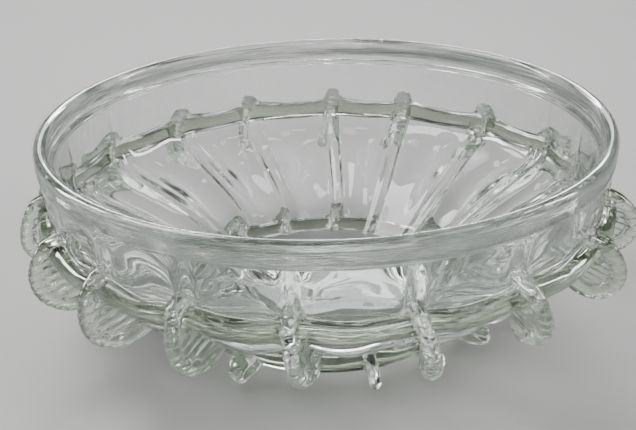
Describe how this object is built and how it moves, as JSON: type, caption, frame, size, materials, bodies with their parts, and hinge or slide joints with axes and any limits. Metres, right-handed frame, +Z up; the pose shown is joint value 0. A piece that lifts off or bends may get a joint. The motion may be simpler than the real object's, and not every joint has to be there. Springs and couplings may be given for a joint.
{
  "type": "art glass bowl",
  "caption": "Round clear glass centrepiece bowl with a thick banded lip, a funnel-shaped inside, wrapped glass trails and tiers of ribbed leaf-like fins.",
  "frame": {"origin": "on the bowl's axis, in the plane that its foot stands on", "axes": "+Z up along the bowl's axis; -Y towards the front, +X to the right as seen from the front"},
  "size_m": [0.2701, 0.2717, 0.092],
  "materials": {
    "clear_glass": "fire-polished clear glass with a faint grey-green cast",
    "trail_glass": "fire-polished thick glass, grey-green in its depth",
    "fin_glass": "fire-polished glass pressed with shallow ribs"
  },
  "bodies": {
    "root": {"bowl_body": "clear_glass", "lip_wrap": "clear_glass", "upper_trail": "trail_glass", "upper_fin_01": "fin_glass", "upper_fin_02": "fin_glass", "upper_fin_03": "fin_glass", "upper_fin_04": "fin_glass", "upper_fin_05": "fin_glass", "upper_fin_06": "fin_glass", "upper_fin_07": "fin_glass", "upper_fin_08": "fin_glass", "upper_fin_09": "fin_glass", "upper_fin_10": "fin_glass", "upper_fin_11": "fin_glass", "upper_fin_12": "fin_glass", "upper_fin_13": "fin_glass", "upper_fin_14": "fin_glass", "upper_fin_15": "fin_glass", "upper_fin_16": "fin_glass", "upper_fin_17": "fin_glass", "upper_fin_18": "fin_glass", "lower_trail": "trail_glass", "lower_fin_01": "fin_glass", "lower_fin_02": "fin_glass", "lower_fin_03": "fin_glass", "lower_fin_04": "fin_glass", "lower_fin_05": "fin_glass", "lower_fin_06": "fin_glass", "lower_fin_07": "fin_glass", "lower_fin_08": "fin_glass", "lower_fin_09": "fin_glass", "lower_fin_10": "fin_glass", "lower_fin_11": "fin_glass", "lower_fin_12": "fin_glass", "lower_fin_13": "fin_glass", "lower_fin_14": "fin_glass", "lower_fin_15": "fin_glass", "lower_fin_16": "fin_glass", "lower_fin_17": "fin_glass"}
  },
  "joints": []
}
